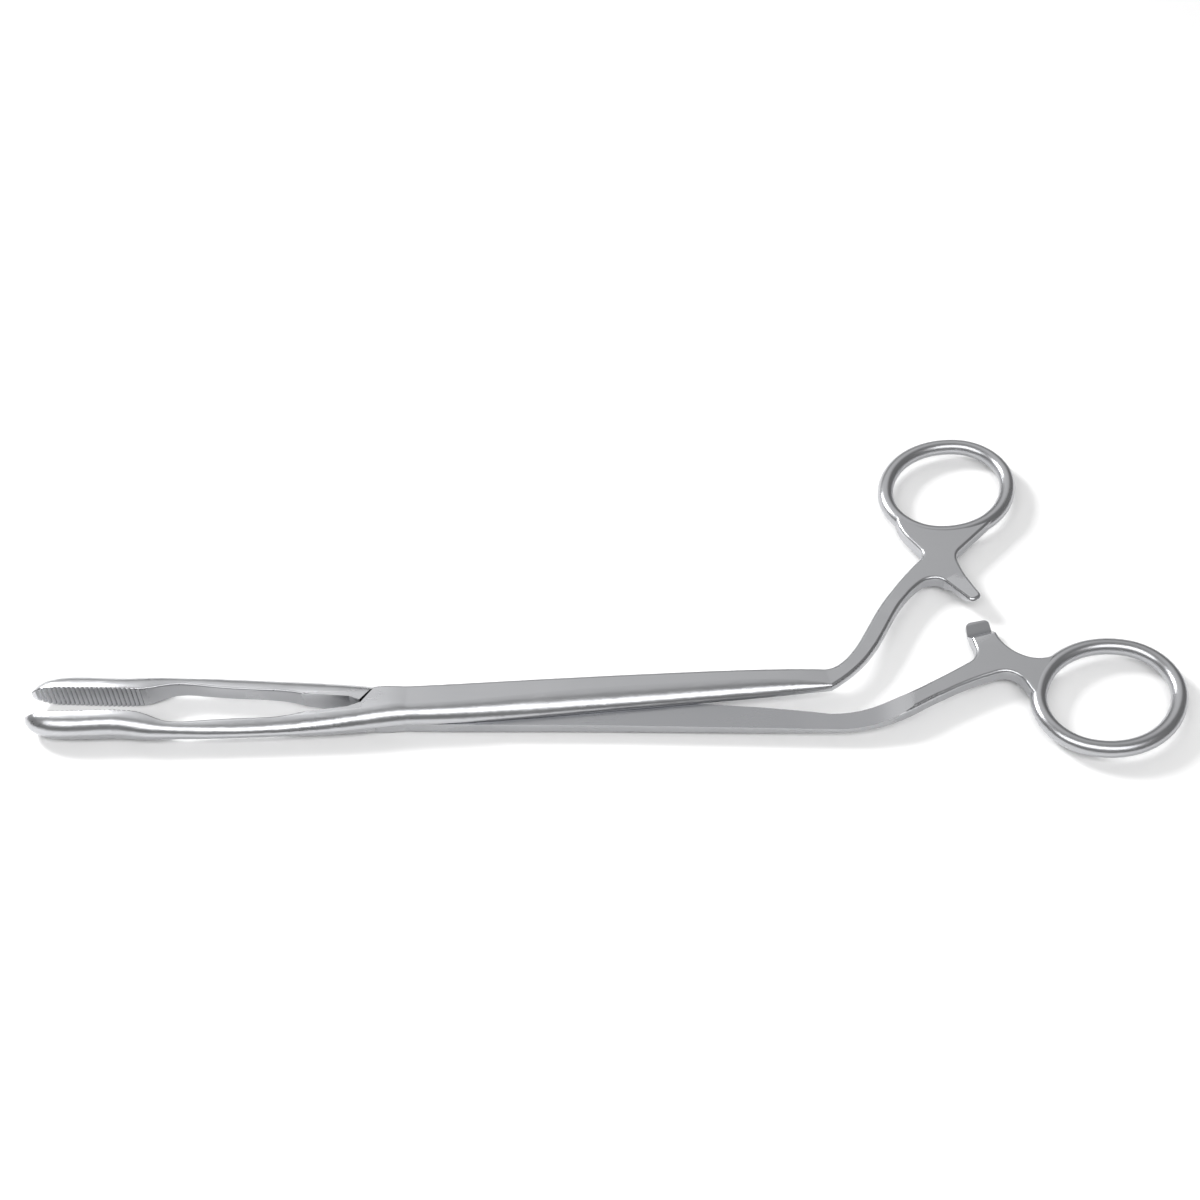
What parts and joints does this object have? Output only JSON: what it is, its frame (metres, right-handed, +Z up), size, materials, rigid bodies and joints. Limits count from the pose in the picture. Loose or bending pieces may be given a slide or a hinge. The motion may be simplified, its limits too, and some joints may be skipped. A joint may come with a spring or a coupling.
{
  "type": "dressing forceps",
  "caption": "Long scissor-action dressing forceps with serrated jaws, a screwed lap joint, a ratchet and two oval finger rings angled to one side.",
  "frame": {"origin": "on the joint's axis, at the surface that the forceps rest on", "axes": "+X from the jaws to the finger rings along the straight shanks, +Y towards the side that the handles are bent to, +Z up along the joint's axis"},
  "size_m": [0.2607, 0.0992, 0.0068],
  "materials": {
    "steel": "satin",
    "screw_steel": "satin"
  },
  "bodies": {
    "lower": {"half_lower": "steel"},
    "upper": {"half_upper": "steel", "pivot_screw": "screw_steel"}
  },
  "joints": [
    {"name": "lap_pivot", "type": "hinge", "parent": "lower", "child": "upper", "pos_m": [0, 0, 0.0035], "axis": [0, 0, 1], "range_deg": [-4.2, 28]}
  ]
}
